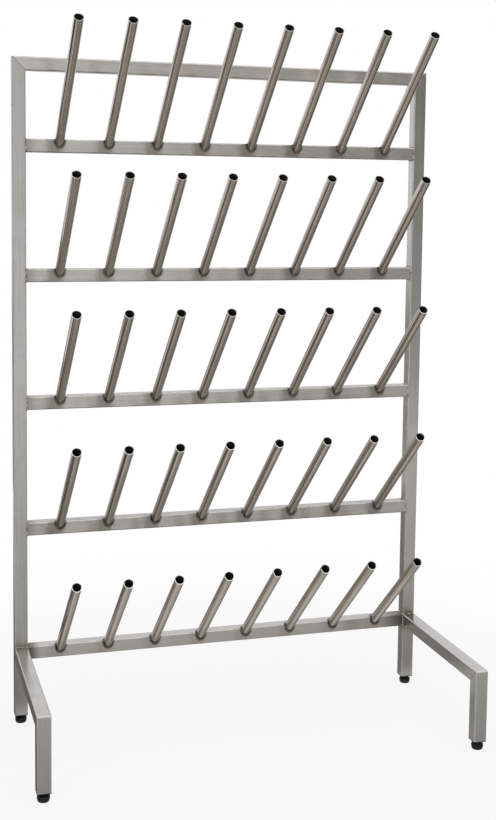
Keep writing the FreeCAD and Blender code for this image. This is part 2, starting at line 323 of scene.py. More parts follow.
class EffectGroup:
    """One shader group while it is being built."""

    def __init__(self, name: str, inputs: dict[str, SocketKind], outputs: dict[str, SocketKind]) -> None:
        """Makes the empty group.

        Args:
            name: The group's name.
            inputs: Names and kinds of its inputs.
            outputs: Names and kinds of its outputs.
        """
        self.tree = bpy.data.node_groups.new(name, "ShaderNodeTree")
        for side, sockets in (("INPUT", inputs), ("OUTPUT", outputs)):
            for socket, kind in sockets.items():
                self.tree.interface.new_socket(name=socket, in_out=side, socket_type=kind.value)
        self.bench = NodeBench(self.tree)
        self.given = self.bench.add("NodeGroupInput").outputs
        self.made = self.bench.add("NodeGroupOutput").inputs

    def give(self, name: str, value: Socket) -> None:
        """Joins one of the group's outputs."""
        self.bench.feed(self.made[name], value)


@dataclass(frozen=True)
class RackSizes:
    """The rack's own sizes, in metres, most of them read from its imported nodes."""

    tube: float
    side_x: float
    inner_x: float
    front_y: float
    back_y: float
    arm_front_y: float
    top_z: float
    rail_tops: tuple[float, ...]
    peg_columns: tuple[float, ...]
    foot_x: float
    foot_y: float
    peg_radius: float = 12.5 * MM
    peg_bore: float = 11.0 * MM
    peg_lean: float = math.radians(49.5)
    peg_seat: float = 3.0 * MM
    peg_reach: float = 380.0 * MM
    top_peg_extra: float = 45.0 * MM

    @classmethod
    def measured(cls) -> "RackSizes":
        """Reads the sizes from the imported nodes' boxes.

        Returns:
            The sizes.
        """
        rails = [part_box(f"peg_rail_{row}") for row in range(1, 6)]
        pegs = [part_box(f"peg_row1_{column}") for column in range(1, 9)]
        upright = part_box("right_upright")
        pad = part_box("front_right_foot_pad")
        return cls(
            tube=upright[1].x - upright[0].x,
            side_x=upright[1].x,
            inner_x=rails[0][1].x,
            front_y=rails[0][0].y,
            back_y=rails[0][1].y,
            arm_front_y=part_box("right_foot_arm")[0].y,
            top_z=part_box("top_rail")[1].z,
            rail_tops=tuple(high.z for _, high in rails),
            peg_columns=tuple((low.x + high.x) / 2 for low, high in pegs),
            foot_x=(pad[0].x + pad[1].x) / 2,
            foot_y=-(pad[0].y + pad[1].y) / 2,
        )

    @property
    def half_tube(self) -> float:
        """Half of a square tube's side."""
        return self.tube / 2

    @property
    def peg_pitch(self) -> float:
        """Distance from one peg to the next."""
        return (self.peg_columns[-1] - self.peg_columns[0]) / (len(self.peg_columns) - 1)

    @property
    def rail_spacing(self) -> float:
        """Distance from one peg rail to the next."""
        return (self.rail_tops[0] - self.rail_tops[-1]) / (len(self.rail_tops) - 1)

    @property
    def lowest_top(self) -> float:
        """Height of the lowest rail's top, which is the foot arms' top too."""
        return self.rail_tops[-1]

    @property
    def peg_axis(self) -> Vector:
        """Direction of a peg, from its rail to its tip."""
        return Vector((0.0, -math.sin(self.peg_lean), math.cos(self.peg_lean)))

    @property
    def peg_up(self) -> Vector:
        """Direction square to a peg, up and back."""
        return Vector((0.0, math.cos(self.peg_lean), math.sin(self.peg_lean)))


class EffectLibrary:
    """The shader groups that several finishes use, each built once."""

    BROAD_WIDER, BROAD_LONGER = 9.0, 4.0
    PATCH_STIR, PATCH_EDGE = 0.7, (0.42, 0.68)
    RAGGED_SCALE, RAGGED_NOISE, RAGGED_REACH = 170.0, (0.2, 0.8), (0.65, 1.35)
    HEAT_TINTS = (
        (0.0, (1.0, 1.0, 1.0)),
        (0.25, (0.94, 0.91, 0.87)),
        (0.55, (0.74, 0.68, 0.61)),
        (0.80, (0.44, 0.38, 0.33)),
        (1.0, (0.13, 0.11, 0.10)),
    )
    LINE_CORE = 0.25
    WEAR_SCALE, LEAST_WEAR = 60.0, 0.65
    DUST_SCALE, DUST_NOISE, UPWARD = 120.0, (0.35, 0.75), (0.35, 0.95)

    @cached_property
    def grain(self) -> bpy.types.NodeTree:
        """Brushing lines along the vector's Z, as a fine and a broad mask."""
        number = SocketKind.NUMBER
        group = EffectGroup(
            "brushed_grain",
            {"Position": SocketKind.VECTOR, "Line Width": number, "Line Length": number},
            {"Fine": number, "Broad": number},
        )
        bench, given = group.bench, group.given
        for output, wider, longer in (("Fine", 1.0, 1.0), ("Broad", self.BROAD_WIDER, self.BROAD_LONGER)):
            across = bench.times(given["Line Width"], wider)
            along = bench.times(given["Line Length"], longer)
            place = bench.vector("DIVIDE", given["Position"], bench.triple(across, across, along))
            group.give(output, bench.noise(place, 1.0))
        return group.tree

    @cached_property
    def handling(self) -> bpy.types.NodeTree:
        """Wiped and handled patches, as a soft mask."""
        group = EffectGroup(
            "handling_marks",
            {"Position": SocketKind.VECTOR, "Patch Size": SocketKind.NUMBER},
            {"Marks": SocketKind.NUMBER},
        )
        bench, given = group.bench, group.given
        scale = bench.over(1.0, given["Patch Size"])
        cloud = bench.noise(given["Position"], scale, detail=3.0, distortion=self.PATCH_STIR)
        group.give("Marks", bench.fade(cloud, *self.PATCH_EDGE))
        return group.tree

    @cached_property
    def weld_heat(self) -> bpy.types.NodeTree:
        """The straw, brown and dark tint that welding leaves on steel."""
        number = SocketKind.NUMBER
        group = EffectGroup(
            "weld_heat",
            {
                "Distance": number,
                "Reach": number,
                "Position": SocketKind.VECTOR,
                "Steel": SocketKind.COLOUR,
                "Strength": number,
            },
            {"Colour": SocketKind.COLOUR, "Heat": number},
        )
        bench, given = group.bench, group.given
        cloud = bench.noise(given["Position"], self.RAGGED_SCALE)
        ragged = bench.fade(cloud, *self.RAGGED_NOISE, *self.RAGGED_REACH)
        reach = bench.times(given["Reach"], ragged)
        near = bench.minus(1.0, bench.over(given["Distance"], reach), clamp=True)
        heat = bench.times(near, given["Strength"])
        tint = bench.ramp(heat, self.HEAT_TINTS)
        group.give("Colour", bench.blend(1.0, given["Steel"], tint, mode="MULTIPLY"))
        group.give("Heat", heat)
        return group.tree

    @cached_property
    def joint_line(self) -> bpy.types.NodeTree:
        """A thin line where two tubes meet, as a mask."""
        number = SocketKind.NUMBER
        group = EffectGroup("joint_line", {"Distance": number, "Width": number}, {"Line": number})
        bench, given = group.bench, group.given
        away = bench.over(bench.unsigned(given["Distance"]), given["Width"])
        group.give("Line", bench.fade(away, 1.0, self.LINE_CORE))
        return group.tree

    @cached_property
    def arris_wear_and_highlight(self) -> bpy.types.NodeTree:
        """Rubbed edges of a square tube, worn and lit by a painted highlight, from the two distances to its
        middle.
        """
        number = SocketKind.NUMBER
        group = EffectGroup(
            "arris_wear_and_highlight",
            {
                "Position": SocketKind.VECTOR,
                "Side Way": number,
                "Other Way": number,
                "Half Side": number,
                "Width": number,
            },
            {"Wear And Highlight": number},
        )
        bench, given = group.bench, group.given
        ways = (bench.unsigned(given["Side Way"]), bench.unsigned(given["Other Way"]))
        inset = bench.minus(given["Half Side"], bench.math("MINIMUM", *ways))
        edge = bench.minus(1.0, bench.over(inset, given["Width"]), clamp=True)
        cloud = bench.noise(given["Position"], self.WEAR_SCALE, detail=3.0)
        group.give("Wear And Highlight", bench.times(edge, bench.fade(cloud, *MOST_NOISE, self.LEAST_WEAR)))
        return group.tree

    @cached_property
    def settled_dust(self) -> bpy.types.NodeTree:
        """Dust that lies on faces that look up, as a mask."""
        group = EffectGroup(
            "settled_dust",
            {"Position": SocketKind.VECTOR, "Amount": SocketKind.NUMBER},
            {"Dust": SocketKind.NUMBER},
        )
        bench, given = group.bench, group.given
        upward = bench.fade(bench.parts(bench.normal())[2], *self.UPWARD)
        patchy = bench.fade(bench.noise(given["Position"], self.DUST_SCALE, detail=4.0), *self.DUST_NOISE)
        group.give("Dust", bench.times(upward, patchy, given["Amount"]))
        return group.tree


@dataclass(frozen=True)
class Tint:
    """A colour that a finish takes where a mask is, and the most that shows of it."""

    colour: Colour
    share: float = 1.0


@dataclass(frozen=True)
class WeldHeat:
    """How far the tint beside a weld reaches, and how dark it is at the weld."""

    reach: float
    strength: float


class FinishBench(NodeBench):
    """A material while it is being built round one Principled shader."""

    def __init__(self, name: str, rack: RackSizes, effects: EffectLibrary) -> None:
        """Makes the material with its shader.

        Args:
            name: The material's name.
            rack: The rack's sizes, for where its welds, pegs and feet are.
            effects: The shared shader groups.
        """
        self.material = bpy.data.materials.new(name)
        self.material.use_nodes = True
        super().__init__(self.material.node_tree)
        self.tree.nodes.clear()
        self.rack, self.effects = rack, effects
        self.shader = self.add("ShaderNodeBsdfPrincipled")
        self.feed(self.add("ShaderNodeOutputMaterial").inputs["Surface"], self.shader.outputs["BSDF"])
        self.place = self.add("ShaderNodeTexCoord").outputs["Object"]
        self.x, self.y, self.z = self.parts(self.place)

    def set(self, name: str, value: Feed) -> None:
        """Feeds one of the shader's sockets."""
        self.feed(self.shader.inputs[name], value)

    def raise_surface(self, height: Feed, depth: float, strength: float = 1.0) -> None:
        """Gives the surface relief, from a height of 0 to 1 and the depth of 1 in metres."""
        values = {"Height": height, "Distance": depth, "Strength": strength}
        self.set("Normal", self.feed_named(self.add("ShaderNodeBump"), values).outputs["Normal"])

    def tinted(self, colour: Feed, mask: Feed, tint: Tint) -> Socket:
        """Blends a tint into a colour where a mask is."""
        return self.blend(self.times(mask, tint.share), colour, tint.colour)

    def marks(self, patch: float) -> Socket:
        """Gives wiped and handled patches of this size, as a mask."""
        return self.effect(self.effects.handling, {"Position": self.place, "Patch Size": patch})["Marks"]

    def repeated(self, value: Feed, first: float, pitch: float, before: float) -> Socket:
        """Folds a coordinate at a pitch, so that each repeat begins a little before its own zero."""
        turns = self.math("FRACT", self.over(self.minus(value, first - before), pitch))
        return self.minus(self.times(turns, pitch), before)

    def beside_peg(self) -> Socket:
        """Gives how far right of its nearest peg's middle a point lies."""
        rack = self.rack
        return self.repeated(self.x, rack.peg_columns[0], rack.peg_pitch, rack.peg_pitch / 2)

    def over_level(self, level: float, before: float) -> Socket:
        """Gives the height over a level that each rail has, such as its top."""
        return self.repeated(self.z, level, self.rack.rail_spacing, before)

    def outside(self, value: Feed, middle: float, half: float) -> Socket:
        """Gives how far a coordinate lies outside a span round its middle."""
        away = self.unsigned(self.minus(value, middle))
        return self.math("MAXIMUM", self.minus(away, half), 0.0)


@dataclass(frozen=True)
class SteelGrain:
    """The tones, brushing lines and wiped patches of one kind of steel."""

    light: Colour
    dark: Colour
    wiped: Tint
    fine_share: float
    swing: float
    line_width: float
    line_length: float
    patch: float


@dataclass
class SteelLayers:
    """What a steel finish has gathered so far, from the bare metal up."""

    bench: FinishBench
    colour: Socket
    fine: Socket
    marks: Socket
    wear_and_highlight: Feed = 0.0
    hot: Feed = 0.0
    relief: Feed = 0.0

    @classmethod
    def bare(cls, bench: FinishBench, lines: Socket, grain: SteelGrain) -> "SteelLayers":
        """Starts with bare metal, brushed and wiped.

        Args:
            bench: The material that is being built.
            lines: The place, turned so that Z runs along the grain.
            grain: The steel's tones, lines and patches.

        Returns:
            The first layers.
        """
        sizes = {"Position": lines, "Line Width": grain.line_width, "Line Length": grain.line_length}
        masks = bench.effect(bench.effects.grain, sizes)
        marks = bench.marks(grain.patch)
        shares = ((masks["Broad"], 1.0 - grain.fine_share), (masks["Fine"], grain.fine_share))
        tone = bench.gathered(0.0, *shares)
        steel = bench.blend(bench.fade(tone, *MOST_NOISE), grain.dark, grain.light)
        return cls(bench, bench.tinted(steel, marks, grain.wiped), masks["Fine"], marks)

    def tint(self, mask: Feed, tint: Tint) -> None:
        """Blends a tint in where a mask is."""
        self.colour = self.bench.tinted(self.colour, mask, tint)

    def heat(self, distance: Socket, weld: WeldHeat) -> None:
        """Tints the steel beside a weld.

        Args:
            distance: The distance to the weld.
            weld: How far and how dark it tints.
        """
        bench = self.bench
        values = {
            "Distance": distance,
            "Reach": weld.reach,
            "Position": bench.place,
            "Steel": self.colour,
            "Strength": weld.strength,
        }
        heated = bench.effect(bench.effects.weld_heat, values)
        self.colour = heated["Colour"]
        self.hot = bench.math("MAXIMUM", self.hot, heated["Heat"])

    def roughness(self, middle: float, swing: float, *shares: tuple[Feed, float]) -> Socket:
        """Gives the roughness: the grain swings it round a middle, and other masks add to it."""
        return self.bench.gathered(middle - swing * MIDDLE, (self.fine, swing), *shares)


@dataclass(frozen=True)
class PegPlace:
    """Where a point lies by its nearest peg: beside it, behind the rail's front and over the root.

    Its last two values lie along the peg and square to it, up and back.
    """

    side: Socket
    back: Socket
    height: Socket
    along: Socket
    square: Socket

    @classmethod
    def found(cls, bench: FinishBench, under_root: float) -> "PegPlace":
        """Finds the place.

        Args:
            bench: The material that is being built.
            under_root: How far under a root the heights of its row begin.

        Returns:
            The place.
        """
        rack, axis, up = bench.rack, bench.rack.peg_axis, bench.rack.peg_up
        height = bench.over_level(rack.lowest_top - rack.peg_seat, under_root)
        back = bench.minus(bench.y, rack.front_y)
        along = bench.plus(bench.times(back, axis.y), bench.times(height, axis.z))
        square = bench.plus(bench.times(back, up.y), bench.times(height, up.z))
        return cls(bench.beside_peg(), back, height, along, square)


@dataclass(frozen=True)
class SquareTubeSteel:
    """Brushed stainless steel of the square tubes."""

    name: str
    run: TubeRun
    mitre: Mitre = Mitre.NONE
    butt_welded: bool = True
    pegs_welded_on: bool = False
    roughness: float = 0.20
    anisotropy: float = 0.9
    grain: SteelGrain = SteelGrain(
        light=(0.665, 0.651, 0.629),
        dark=(0.560, 0.545, 0.525),
        wiped=Tint((0.50, 0.47, 0.43), 0.10),
        fine_share=0.55,
        swing=0.16,
        line_width=0.45 * MM,
        line_length=70.0 * MM,
        patch=60.0 * MM,
    )
    # Painted highlight: the arrises are painted near white, partly worn steel; a foot mitre's ground zone
    # takes the same tint.
    rubbed_and_highlight: Tint = Tint((0.930, 0.925, 0.915))
    under_edge_shade: Tint = Tint(SHADE, 0.8)
    # Painted reflection: a soft dark streak down the rail's front under each peg.
    peg_reflection: Tint = Tint(SOFT_DARK, 0.70)
    # Painted light: the lowest peg rail is painted lighter all over.
    lowest_rail_painted_light: Tint = Tint((0.86, 0.85, 0.835), 0.5)
    # The left end of every peg rail is made darker.
    left_end_dark: Tint = Tint(SOFT_DARK, 0.5)
    # Painted shade at both ends of the lowest peg rail, beside the uprights.
    lowest_end_shade: Tint = Tint(SHADE, 0.9)
    # Painted contact shade round each peg's root.
    contact_shade: Tint = Tint(SHADE, 0.9)
    dressed: Tint = Tint((0.78, 0.77, 0.76), 0.30)
    joint: Tint = Tint((0.20, 0.18, 0.165), 0.85)
    frame_weld: WeldHeat = WeldHeat(6.0 * MM, 0.7)
    peg_weld: WeldHeat = WeldHeat(7.0 * MM, 1.0)
    # Near the foot arms the heat tint reaches further, and so also lays a painted dark reflection.
    arm_heat_and_shade_reach: float = 24.0 * MM
    grain_relief: float = 0.25
    relief_depth: float = 0.08 * MM
    arris_band_width: float = 3.0 * MM
    highlight_facing: tuple[float, float] = (0.1, -0.4)
    least_back_arris: float = 0.25
    wear_and_highlight_dulls: float = 0.55
    mark_roughness: float = 0.05
    heat_roughness: float = 0.12
    contact_shade_reach: tuple[float, float] = (5.5 * MM, 2.5 * MM)
    peg_reflection_left: float = 12.0 * MM
    peg_reflection_half: tuple[float, float] = (28.0 * MM, 38.0 * MM)
    peg_reflection_core: float = 8.0 * MM
    peg_reflection_scale: float = 55.0
    front_depth: float = 3.0 * MM
    back_from: float = 0.7
    left_end: tuple[float, float] = (36.0 * MM, 2.0 * MM)
    right_end: tuple[float, float] = (105.0 * MM, 4.0 * MM)
    joint_width: float = 1.3 * MM
    dressed_width: float = 5.0 * MM
    ground: tuple[float, float] = (4.5 * MM, 2.5 * MM)
    slack: float = 5.0 * MM
    under_rail: float = 150.0 * MM

    def turned(self, bench: FinishBench) -> Socket:
        """Turns the object's axes so that Z runs along the tube.

        Args:
            bench: The material that is being built.

        Returns:
            The socket with the turned place.
        """
        x, y, z = bench.x, bench.y, bench.z
        turns = {TubeRun.ACROSS: (z, y, x), TubeRun.DEEP: (x, z, y), TubeRun.UP: (x, y, z)}
        return bench.triple(*turns[self.run])

    def middle_ways(self, bench: FinishBench) -> tuple[Socket, Socket]:
        """Gives the two distances from the tube's middle line.

        Args:
            bench: The material that is being built.

        Returns:
            The distance one way and the other, square to the tube.
        """
        rack, half = bench.rack, bench.rack.half_tube
        side = bench.minus(bench.unsigned(bench.x), rack.side_x - half)
        if self.run is TubeRun.UP:
            return side, bench.minus(bench.unsigned(bench.y), rack.back_y - half)
        if self.mitre is Mitre.TOP:
            over_top = bench.minus(bench.z, rack.top_z)
        else:
            over_top = bench.over_level(rack.lowest_top, rack.tube + self.slack)
        if self.run is TubeRun.ACROSS:
            side = bench.minus(bench.y, rack.front_y + half)
        return side, bench.plus(over_top, half)

    def weld_distance(self, bench: FinishBench) -> Socket:
        """Gives the distance to the nearest weld between square tubes.

        Args:
            bench: The material that is being built.

        Returns:
            The distance, made shorter at the foot arms, where the tint reaches further: heat tint with
            painted dark reflection.
        """
        rack, half = bench.rack, bench.rack.half_tube
        rail_side = bench.unsigned(bench.minus(bench.unsigned(bench.x), rack.inner_x))
        if self.run is TubeRun.ACROSS:
            return rail_side
        shorter = self.frame_weld.reach / self.arm_heat_and_shade_reach
        before_front = bench.unsigned(bench.minus(bench.y, rack.front_y))
        if self.run is TubeRun.DEEP:
            return bench.times(before_front, shorter)
        beside_rail = bench.outside(bench.over_level(rack.lowest_top, self.under_rail), -half, half)
        beside_arm = bench.outside(bench.z, rack.lowest_top - half, half)
        arm_end = bench.length(beside_arm, before_front, bench.outside(bench.x, 0.0, rack.side_x))
        return bench.math("MINIMUM", bench.length(rail_side, beside_rail), bench.times(arm_end, shorter))

    def peg_distance(self, bench: FinishBench) -> Socket:
        """Gives the distance to the nearest peg's wall, square to the peg.

        Args:
            bench: The material that is being built.

        Returns:
            The distance, and a metre more on the back of the rail.
        """
        rack = bench.rack
        place = PegPlace.found(bench, rack.tube + self.slack)
        radial = bench.length(place.side, place.square)
        behind = bench.math("GREATER_THAN", bench.y, rack.front_y + rack.tube * self.back_from)
        return bench.plus(bench.math("MAXIMUM", bench.minus(radial, rack.peg_radius), 0.0), behind)

    def painted_peg_reflection(self, bench: FinishBench) -> Socket:
        """Gives the painted reflection of each peg: a soft dark streak that runs down the rail's front under
        it.

        Args:
            bench: The material that is being built.

        Returns:
            The socket with the mask.
        """
        half = bench.fade(bench.noise(bench.place, self.peg_reflection_scale), *MOST_NOISE, *self.peg_reflection_half)
        away = bench.unsigned(bench.plus(bench.beside_peg(), self.peg_reflection_left))
        front = bench.math("LESS_THAN", bench.y, bench.rack.front_y + self.front_depth)
        return bench.times(bench.fade(away, half, self.peg_reflection_core), front)

    def wear_highlight_and_shade_edges(self, layers: SteelLayers) -> None:
        """Rubs the arrises bright, worn and lit by a painted highlight, and paints shade on those under a
        level tube.

        Args:
            layers: The layers so far, which it changes.
        """
        bench = layers.bench
        side_way, other_way = self.middle_ways(bench)
        sizes = {
            "Position": bench.place,
            "Side Way": side_way,
            "Other Way": other_way,
            "Half Side": bench.rack.half_tube,
            "Width": self.arris_band_width,
        }
        wear_and_highlight = bench.effect(bench.effects.arris_wear_and_highlight, sizes)["Wear And Highlight"]
        # Painted highlight: on an upright the bright arrises show fully where the face looks forward, and at
        # a quarter where it looks back.
        if self.run is TubeRun.UP:
            facing = bench.parts(bench.normal())[1]
            layers.wear_and_highlight = bench.times(wear_and_highlight, bench.fade(facing, *self.highlight_facing, self.least_back_arris))
        else:
            # Painted shade: the arrises on the underside of a level tube are painted dark.
            under = bench.math("LESS_THAN", other_way, 0.0)
            layers.tint(bench.times(wear_and_highlight, under), self.under_edge_shade)
            layers.wear_and_highlight = bench.times(wear_and_highlight, bench.minus(1.0, under))
        layers.tint(layers.wear_and_highlight, self.rubbed_and_highlight)

    def mark_pegs(self, layers: SteelLayers) -> None:
        """Paints each peg's dark reflection down the rail and the lowest rail lighter, darkens the rails'
        left ends, paints shade at the lowest rail's ends, and lays heat tint and painted contact shade round
        the welds.

        Args:
            layers: The layers so far, which it changes.
        """
        bench, rack = layers.bench, layers.bench.rack
        lowest = bench.math("LESS_THAN", bench.z, rack.lowest_top + rack.tube)
        left_end = bench.fade(bench.plus(bench.x, rack.inner_x), *self.left_end)
        right_end = bench.fade(bench.x, *(rack.inner_x - inset for inset in self.right_end))
        distance = self.peg_distance(bench)
        layers.tint(self.painted_peg_reflection(bench), self.peg_reflection)
        layers.tint(lowest, self.lowest_rail_painted_light)
        layers.tint(left_end, self.left_end_dark)
        layers.tint(bench.times(bench.math("MAXIMUM", left_end, right_end), lowest), self.lowest_end_shade)
        layers.heat(distance, self.peg_weld)
        layers.tint(bench.fade(distance, *self.contact_shade_reach), self.contact_shade)

    def mark_mitre(self, layers: SteelLayers) -> None:
        """Draws the joint line of a mitre in a zone that was ground flat.

        Args:
            layers: The layers so far, which it changes.
        """
        bench, rack = layers.bench, layers.bench.rack
        if self.mitre is Mitre.TOP:
            inward = bench.minus(rack.side_x, bench.unsigned(bench.x))
            down = bench.minus(rack.top_z, bench.z)
        else:
            inward = bench.minus(bench.y, rack.arm_front_y)
            down = bench.minus(rack.lowest_top, bench.z)
        distance = bench.times(bench.minus(inward, down), math.sqrt(0.5))
        line, dressed = (
            bench.effect(bench.effects.joint_line, {"Distance": distance, "Width": width})["Line"]
            for width in (self.joint_width, self.dressed_width)
        )
        layers.tint(dressed, self.dressed)
        layers.tint(line, self.joint)
        layers.relief = bench.minus(layers.relief, line)
        if self.mitre is Mitre.FOOT:
            ground = bench.fade(bench.length(inward, down), *self.ground)
            layers.tint(ground, self.rubbed_and_highlight)
            layers.wear_and_highlight = bench.math("MAXIMUM", layers.wear_and_highlight, ground)

    def build(self, rack: RackSizes, effects: EffectLibrary) -> bpy.types.Material:
        """Makes the material.

        Args:
            rack: The rack's sizes, for where its welds and mitres are.
            effects: The shared shader groups.

        Returns:
            The finished material.
        """
        bench = FinishBench(self.name, rack, effects)
        layers = SteelLayers.bare(bench, self.turned(bench), self.grain)
        layers.relief = bench.times(layers.fine, self.grain_relief)
        self.wear_highlight_and_shade_edges(layers)
        if self.butt_welded:
            layers.heat(self.weld_distance(bench), self.frame_weld)
        if self.pegs_welded_on:
            self.mark_pegs(layers)
        if self.mitre is not Mitre.NONE:
            self.mark_mitre(layers)
        shares = ((layers.marks, self.mark_roughness), (layers.hot, self.heat_roughness))
        bench.set("Base Color", layers.colour)
        # Where the arrises are painted bright the steel is made partly matt, so that the painted highlight
        # shows under any light.
        bench.set("Metallic", bench.minus(1.0, bench.times(layers.wear_and_highlight, self.wear_and_highlight_dulls)))
        bench.set("Roughness", layers.roughness(self.roughness, self.grain.swing, *shares))
        bench.raise_surface(layers.relief, self.relief_depth)
        bench.set("Tangent", bench.vector("CROSS_PRODUCT", bench.normal(), self.run.value))
        bench.set("Anisotropic", self.anisotropy)
        return bench.material


@dataclass(frozen=True)
class PegTubeSteel:
    """Drawn round stainless tube, warmer and shinier than the frame."""

    name: str = "peg_tube_steel"
    roughness: float = 0.11
    anisotropy: float = 0.6
    grain: SteelGrain = SteelGrain(
        light=(0.690, 0.638, 0.575),
        dark=(0.560, 0.508, 0.448),
        wiped=Tint((0.42, 0.36, 0.30), 0.18),
        fine_share=0.45,
        swing=0.06,
        line_width=1.6 * MM,
        line_length=400.0 * MM,
        patch=45.0 * MM,
    )
    # Painted highlight: a pale stripe along each peg's front.
    highlight_band: Tint = Tint((0.860, 0.810, 0.750), 0.9)
    # Painted reflection: a dark streak along each peg, left of its middle, laid only above four fifths of a
    # rail spacing over the lowest rail.
    seam: Tint = Tint((0.200, 0.172, 0.145), 0.85)
    # Painted highlight on the rim's near side and painted shade on its far side.
    rim: Colour = (0.800, 0.785, 0.760)
    far_rim_shade: Colour = (0.090, 0.080, 0.070)
    # Painted shade: the bore is painted near black.
    bore: Colour = (0.012, 0.011, 0.010)
    root_weld: WeldHeat = WeldHeat(6.0 * MM, 0.6)
    mark_roughness: float = 0.06
    bore_roughness: float = 0.5
    rim_dulls: float = 0.6
    rim_depth: float = 0.5 * MM
    bore_shade: tuple[float, float] = (0.2 * MM, 1.2 * MM)
    rim_turn: tuple[float, float] = (-2.0 * MM, 5.0 * MM)
    under_root: float = 30.0 * MM
    band_turn: float = math.radians(-22.0)
    band_half: float = math.radians(17.0)
    band_core: float = 0.2
    dark_streak_turn: float = math.radians(-42.0)
    dark_streak_half: float = math.radians(6.5)
    dark_streak_core: float = 0.4
    dark_streak_from: float = 0.8

    def lay_streaks(self, layers: SteelLayers, place: PegPlace) -> None:
        """Paints a pale highlight stripe and a dark streak of painted reflection along the tube's front, left
        of its middle.

        Args:
            layers: The layers so far, which it changes.
            place: The point's place on its peg.
        """
        bench, rack = layers.bench, layers.bench.rack
        turn = bench.math("ARCTAN2", place.side, bench.times(place.square, -1.0))
        highlight_band, seam = (
            bench.fade(bench.unsigned(bench.minus(turn, middle)), half, half * core)
            for middle, half, core in (
                (self.band_turn, self.band_half, self.band_core),
                (self.dark_streak_turn, self.dark_streak_half, self.dark_streak_core),
            )
        )
        dark_streak_height = rack.lowest_top + rack.rail_spacing * self.dark_streak_from
        above_lowest = bench.math("GREATER_THAN", bench.z, dark_streak_height)
        layers.tint(highlight_band, self.highlight_band)
        # Painted reflection: the dark streak along the peg.
        layers.tint(bench.times(seam, above_lowest), self.seam)

    def build(self, rack: RackSizes, effects: EffectLibrary) -> bpy.types.Material:
        """Makes the material.

        Args:
            rack: The rack's sizes, for where each peg's rim, bore and weld are.
            effects: The shared shader groups.

        Returns:
            The finished material.
        """
        bench = FinishBench(self.name, rack, effects)
        axis, up = rack.peg_axis, rack.peg_up
        place = PegPlace.found(bench, self.under_root)
        unbroken = bench.plus(bench.times(place.back, up.y), bench.times(bench.z, up.z))
        layers = SteelLayers.bare(bench, bench.triple(bench.x, unbroken, place.along), self.grain)
        self.lay_streaks(layers, place)
        before = bench.math("MAXIMUM", bench.times(place.back, -1.0), 0.0)
        above = bench.math("MAXIMUM", bench.minus(place.height, rack.peg_seat), 0.0)
        layers.heat(bench.length(before, above), self.root_weld)
        top_row = bench.math("GREATER_THAN", bench.z, rack.rail_tops[0] - rack.tube)
        below_tip = bench.minus(bench.gathered(rack.peg_reach, (top_row, rack.top_peg_extra)), place.along)
        rim = bench.fade(below_tip, self.rim_depth, self.rim_depth / 2)
        # Painted highlight and shade: the rim is near white on its near side and dark on its far side, and
        # partly matt so that the bright side shows.
        lit_rim = bench.blend(bench.fade(place.square, *self.rim_turn), self.rim, self.far_rim_shade)
        radius = bench.length(place.side, place.square)
        in_bore = bench.math("LESS_THAN", radius, (rack.peg_bore + rack.peg_radius) / 2)
        painted_bore_shade = bench.times(in_bore, bench.fade(below_tip, *self.bore_shade))
        shares = ((layers.marks, self.mark_roughness), (painted_bore_shade, self.bore_roughness))
        bench.set("Base Color", bench.blend(painted_bore_shade, bench.blend(rim, layers.colour, lit_rim), self.bore))
        dull = bench.math("MAXIMUM", painted_bore_shade, bench.times(rim, self.rim_dulls))
        bench.set("Metallic", bench.minus(1.0, dull))
        bench.set("Roughness", layers.roughness(self.roughness, self.grain.swing, *shares))
        # The Tangent socket has no value of its own, so the fixed direction comes through a node.
        bench.set("Tangent", bench.vector("ADD", tuple(axis), (0.0, 0.0, 0.0)))
        bench.set("Anisotropic", self.anisotropy)
        return bench.material


@dataclass(frozen=True)
class WeldMetal:
    """Weld beads as they were laid: silver crests and brown, sooty troughs."""

    name: str = "weld_metal"
    crest: Colour = (0.90, 0.89, 0.87)
    straw: Colour = (0.55, 0.50, 0.44)
    trough: Colour = (0.10, 0.085, 0.075)
    roughness: float = 0.16
    trough_roughness: float = 0.38
    sooty_to: float = 0.30
    clean_from: float = 0.64
    straw_at: float = 0.45
    crest_at: float = 0.8
    patch_scale: float = 230.0
    ripple_scale: float = 1400.0
    ripple_depth: float = 0.15 * MM
    ripple_strength: float = 0.6

    def build(self, rack: RackSizes, effects: EffectLibrary) -> bpy.types.Material:
        """Makes the material.

        Args:
            rack: The rack's sizes.
            effects: The shared shader groups.

        Returns:
            The finished material.
        """
        bench = FinishBench(self.name, rack, effects)
        patches = bench.noise(bench.place, self.patch_scale, detail=3.0)
        tints = ((0.0, self.trough), (self.straw_at, self.straw), (self.crest_at, self.crest))
        bench.set("Base Color", bench.ramp(bench.fade(patches, self.sooty_to, self.clean_from), tints))
        bench.set("Metallic", 1.0)
        bench.set("Roughness", bench.fade(patches, *MOST_NOISE, self.trough_roughness, self.roughness))
        ripples = bench.noise(bench.place, self.ripple_scale)
        bench.raise_surface(ripples, self.ripple_depth, self.ripple_strength)
        return bench.material


